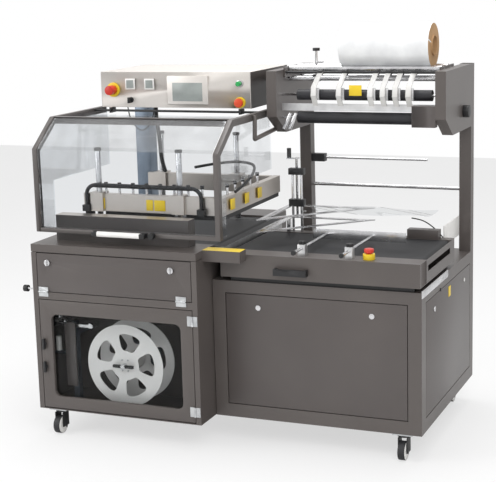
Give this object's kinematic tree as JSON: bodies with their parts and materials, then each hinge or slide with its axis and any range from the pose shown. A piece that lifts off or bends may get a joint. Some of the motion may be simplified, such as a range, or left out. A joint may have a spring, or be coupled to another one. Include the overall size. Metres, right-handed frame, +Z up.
{
  "type": "l bar sealer",
  "caption": "Shrink-film L-bar sealer with a clear tip-up hood, scrap reel behind a window door, belt infeed table and film roll cradle on rear columns.",
  "frame": {"origin": "on the floor, under the centre of the whole machine's bounding box", "axes": "+X towards the infeed end, +Y from the operator's side to the back, +Z up"},
  "size_m": [1.683, 0.999, 1.6493],
  "materials": {
    "grey_paint": "powder coat",
    "hood_paint": "powder coat",
    "clear_sheet": "clear acrylic sheet",
    "stainless": "brushed",
    "bright_steel": "ground bright",
    "aluminium": "turned",
    "belt_rubber": "matt black",
    "tyre": "matt",
    "black_plastic": "moulded",
    "red_plastic": "moulded",
    "green_plastic": "moulded",
    "clear_strap": "flexible strap",
    "film": "clear film wound on a card core"
  },
  "bodies": {
    "machine": {"sealing_cabinet": "grey_paint", "infeed_cabinet": "grey_paint", "castor_plates": "bright_steel", "infeed_table": "grey_paint", "belts": "belt_rubber", "lower_jaws": "stainless", "guide_posts": "bright_steel", "control_box": "stainless", "panel_fittings": "black_plastic", "film_head": "grey_paint", "head_rods": "bright_steel", "table_fittings": "bright_steel", "winder_base": "aluminium"},
    "hood": {"hood_frame": "hood_paint", "hood_panels": "clear_sheet"},
    "window_door": {"window_door": "grey_paint", "window_pane": "clear_sheet"},
    "upper_jaw": {"upper_jaws": "stainless", "jaw_conduit": "black_plastic"},
    "flap": {"flap": "grey_paint"},
    "front_panel": {"front_panel": "grey_paint"},
    "side_panel": {"side_panel": "grey_paint"},
    "idler_roller": {"idler_roller": "bright_steel"},
    "cradle_roller_front": {"cradle_roller_front": "bright_steel"},
    "cradle_roller_rear": {"cradle_roller_rear": "bright_steel"},
    "infeed_roller_left": {"infeed_roller_left": "bright_steel"},
    "infeed_roller_right": {"infeed_roller_right": "bright_steel"},
    "bed_roller_left": {"bed_roller_left": "bright_steel"},
    "bed_roller_right": {"bed_roller_right": "bright_steel"},
    "side_guide": {"side_guide": "bright_steel"},
    "adjuster_crank": {"adjuster_crank": "bright_steel"},
    "former_carriage": {"former_carriage": "bright_steel"},
    "castor_fork_front_left": {"castor_fork_front_left": "bright_steel"},
    "castor_fork_front_right": {"castor_fork_front_right": "bright_steel"},
    "castor_fork_rear_left": {"castor_fork_rear_left": "bright_steel"},
    "castor_fork_rear_right": {"castor_fork_rear_right": "bright_steel"},
    "scrap_reel": {"scrap_reel": "aluminium"},
    "dancer_arm": {"dancer_arm": "aluminium"},
    "nip_roller": {"nip_roller": "belt_rubber"},
    "draw_roller": {"draw_roller": "belt_rubber"},
    "castor_wheel_front_left": {"castor_wheel_front_left": "tyre"},
    "castor_wheel_front_right": {"castor_wheel_front_right": "tyre"},
    "castor_wheel_rear_left": {"castor_wheel_rear_left": "tyre"},
    "castor_wheel_rear_right": {"castor_wheel_rear_right": "tyre"},
    "door_latch_low": {"door_latch_low": "black_plastic"},
    "door_latch_high": {"door_latch_high": "black_plastic"},
    "flap_latch_left": {"flap_latch_left": "black_plastic"},
    "flap_latch_right": {"flap_latch_right": "black_plastic"},
    "selector_knob": {"selector_knob": "black_plastic"},
    "clamp_knob_left": {"clamp_knob_left": "black_plastic"},
    "clamp_knob_right": {"clamp_knob_right": "black_plastic"},
    "film_stop": {"film_stop": "black_plastic"},
    "head_knob": {"head_knob": "black_plastic"},
    "side_knob": {"side_knob": "black_plastic"},
    "main_switch": {"main_switch": "red_plastic"},
    "stop_button_panel": {"stop_button_panel": "red_plastic"},
    "stop_button_table": {"stop_button_table": "red_plastic"},
    "start_button": {"start_button": "green_plastic"},
    "film_fingers": {"film_fingers": "clear_strap"},
    "film_roll": {"film_roll": "film"}
  },
  "joints": [
    {"name": "hood_hinge", "type": "hinge", "parent": "machine", "child": "hood", "pos_m": [-0.3835, 0.0645, 1.296], "axis": [-1, 0, 0], "range_deg": [0, 58]},
    {"name": "door_hinge", "type": "hinge", "parent": "machine", "child": "window_door", "pos_m": [-0.067, -0.4895, 0.345], "axis": [0, 0, 1], "range_deg": [0, 110]},
    {"name": "flap_hinge", "type": "hinge", "parent": "machine", "child": "flap", "pos_m": [-0.4135, -0.4895, 0.6095], "axis": [1, 0, 0], "range_deg": [0, 90]},
    {"name": "door_latch_low_turn", "type": "hinge", "parent": "window_door", "child": "door_latch_low", "pos_m": [-0.7435, -0.4855, 0.29], "axis": [0, -1, 0], "range_deg": [0, 90]},
    {"name": "door_latch_high_turn", "type": "hinge", "parent": "window_door", "child": "door_latch_high", "pos_m": [-0.7435, -0.4855, 0.388], "axis": [0, -1, 0], "range_deg": [0, 90]},
    {"name": "flap_latch_left_turn", "type": "hinge", "parent": "flap", "child": "flap_latch_left", "pos_m": [-0.6985, -0.4855, 0.732], "axis": [0, 1, 0], "range_deg": [0, 90]},
    {"name": "flap_latch_right_turn", "type": "hinge", "parent": "flap", "child": "flap_latch_right", "pos_m": [-0.1435, -0.4855, 0.732], "axis": [0, 1, 0], "range_deg": [0, 90]},
    {"name": "front_panel_lift", "type": "slide", "parent": "machine", "child": "front_panel", "axis": [0, -1, 0], "range_m": [0, 0.25]},
    {"name": "side_panel_lift", "type": "slide", "parent": "machine", "child": "side_panel", "axis": [1, 0, 0], "range_m": [0, 0.25]},
    {"name": "front_left_swivel", "type": "hinge", "parent": "machine", "child": "castor_fork_front_left", "pos_m": [-0.7035, -0.4395, 0.09], "axis": [0, 0, 1], "continuous": true},
    {"name": "front_left_wheel_spin", "type": "hinge", "parent": "castor_fork_front_left", "child": "castor_wheel_front_left", "pos_m": [-0.7035, -0.4615, 0.0375], "axis": [1, 0, 0], "continuous": true},
    {"name": "front_right_swivel", "type": "hinge", "parent": "machine", "child": "castor_fork_front_right", "pos_m": [0.7365, -0.2985, 0.09], "axis": [0, 0, 1], "continuous": true},
    {"name": "front_right_wheel_spin", "type": "hinge", "parent": "castor_fork_front_right", "child": "castor_wheel_front_right", "pos_m": [0.7365, -0.3205, 0.0375], "axis": [1, 0, 0], "continuous": true},
    {"name": "rear_left_swivel", "type": "hinge", "parent": "machine", "child": "castor_fork_rear_left", "pos_m": [-0.7035, 0.4565, 0.09], "axis": [0, 0, 1], "continuous": true},
    {"name": "rear_left_wheel_spin", "type": "hinge", "parent": "castor_fork_rear_left", "child": "castor_wheel_rear_left", "pos_m": [-0.7035, 0.4345, 0.0375], "axis": [1, 0, 0], "continuous": true},
    {"name": "rear_right_swivel", "type": "hinge", "parent": "machine", "child": "castor_fork_rear_right", "pos_m": [0.7365, 0.4565, 0.09], "axis": [0, 0, 1], "continuous": true},
    {"name": "rear_right_wheel_spin", "type": "hinge", "parent": "castor_fork_rear_right", "child": "castor_wheel_rear_right", "pos_m": [0.7365, 0.4345, 0.0375], "axis": [1, 0, 0], "continuous": true},
    {"name": "infeed_drive", "type": "hinge", "parent": "machine", "child": "infeed_roller_right", "pos_m": [0.7902, -0.0855, 0.7637], "axis": [0, 1, 0], "continuous": true},
    {"name": "infeed_return", "type": "hinge", "parent": "machine", "child": "infeed_roller_left", "pos_m": [0.0308, -0.0855, 0.7637], "axis": [0, 1, 0], "continuous": true},
    {"name": "bed_drive", "type": "hinge", "parent": "machine", "child": "bed_roller_left", "pos_m": [-0.6692, 0.0145, 0.7777], "axis": [0, 1, 0], "continuous": true},
    {"name": "bed_return", "type": "hinge", "parent": "machine", "child": "bed_roller_right", "pos_m": [-0.0678, 0.0145, 0.7777], "axis": [0, 1, 0], "continuous": true},
    {"name": "jaw_travel", "type": "slide", "parent": "machine", "child": "upper_jaw", "axis": [0, 0, -1], "range_m": [0, 0.099], "stiffness_N_per_m": 1500, "springref_m": -0.45},
    {"name": "main_switch_turn", "type": "hinge", "parent": "machine", "child": "main_switch", "pos_m": [-0.6665, 0.0645, 1.385], "axis": [0, -1, 0], "range_deg": [0, 90]},
    {"name": "selector_turn", "type": "hinge", "parent": "machine", "child": "selector_knob", "pos_m": [-0.5825, 0.0645, 1.342], "axis": [0, -1, 0], "range_deg": [-45, 45]},
    {"name": "start_press", "type": "slide", "parent": "machine", "child": "start_button", "axis": [0, 1, 0], "range_m": [0, 0.004], "stiffness_N_per_m": 800, "springref_m": -0.002},
    {"name": "panel_stop_press", "type": "slide", "parent": "machine", "child": "stop_button_panel", "axis": [0, 1, 0], "range_m": [0, 0.004]},
    {"name": "table_stop_press", "type": "slide", "parent": "machine", "child": "stop_button_table", "axis": [0, 0, -1], "range_m": [0, 0.004]},
    {"name": "film_unwind", "type": "hinge", "parent": "machine", "child": "film_roll", "pos_m": [0.5285, 0.2145, 1.56035], "axis": [1, 0, 0], "continuous": true},
    {"name": "cradle_front_spin", "type": "hinge", "parent": "machine", "child": "cradle_roller_front", "pos_m": [0.4415, 0.1645, 1.47], "axis": [1, 0, 0], "continuous": true},
    {"name": "cradle_rear_spin", "type": "hinge", "parent": "machine", "child": "cradle_roller_rear", "pos_m": [0.4415, 0.2645, 1.47], "axis": [1, 0, 0], "continuous": true},
    {"name": "nip_spin", "type": "hinge", "parent": "machine", "child": "nip_roller", "pos_m": [0.4415, 0.0845, 1.37], "axis": [1, 0, 0], "continuous": true},
    {"name": "draw_spin", "type": "hinge", "parent": "machine", "child": "draw_roller", "pos_m": [0.4415, 0.0845, 1.277], "axis": [1, 0, 0], "continuous": true},
    {"name": "idler_spin", "type": "hinge", "parent": "machine", "child": "idler_roller", "pos_m": [0.4325, 0.4745, 0.938], "axis": [1, 0, 0], "continuous": true},
    {"name": "fingers_lift", "type": "hinge", "parent": "machine", "child": "film_fingers", "pos_m": [0.4415, 0.1185, 1.458], "axis": [-1, 0, 0], "range_deg": [0, 40]},
    {"name": "film_stop_slide", "type": "slide", "parent": "machine", "child": "film_stop", "axis": [1, 0, 0], "range_m": [-0.06, 0.09]},
    {"name": "head_knob_turn", "type": "hinge", "parent": "machine", "child": "head_knob", "pos_m": [0.8165, 0.3145, 1.286], "axis": [1, 0, 0], "continuous": true},
    {"name": "clamp_left_turn", "type": "hinge", "parent": "machine", "child": "clamp_knob_left", "pos_m": [0.3365, -0.3205, 0.83], "axis": [0, 0, 1], "continuous": true},
    {"name": "clamp_right_turn", "type": "hinge", "parent": "machine", "child": "clamp_knob_right", "pos_m": [0.5285, -0.3205, 0.83], "axis": [0, 0, 1], "continuous": true},
    {"name": "side_guide_slide", "type": "slide", "parent": "machine", "child": "side_guide", "axis": [0, 1, 0], "range_m": [-0.03, 0.075]},
    {"name": "former_height", "type": "slide", "parent": "machine", "child": "former_carriage", "axis": [0, 0, 1], "range_m": [-0.03, 0.05]},
    {"name": "crank_turn", "type": "hinge", "parent": "machine", "child": "adjuster_crank", "pos_m": [0.1485, 0.1365, 1.06], "axis": [0, 0, 1], "range_deg": [-540, 900]},
    {"name": "reel_spin", "type": "hinge", "parent": "machine", "child": "scrap_reel", "pos_m": [-0.4055, -0.3655, 0.307], "axis": [0, 1, 0], "continuous": true},
    {"name": "dancer_swing", "type": "hinge", "parent": "machine", "child": "dancer_arm", "pos_m": [-0.6585, -0.3855, 0.452], "axis": [0, 1, 0], "range_deg": [-20, 20]},
    {"name": "side_knob_turn", "type": "hinge", "parent": "machine", "child": "side_knob", "pos_m": [-0.8135, -0.4595, 0.612], "axis": [1, 0, 0], "range_deg": [0, 180]}
  ],
  "couplings": [
    {"joint": "infeed_return", "follows": "infeed_drive", "ratio": 1},
    {"joint": "bed_return", "follows": "bed_drive", "ratio": 1},
    {"joint": "cradle_front_spin", "follows": "film_unwind", "ratio": -6.3571},
    {"joint": "cradle_rear_spin", "follows": "film_unwind", "ratio": -6.3571},
    {"joint": "crank_turn", "follows": "former_height", "rad_per_m": 314.16}
  ]
}
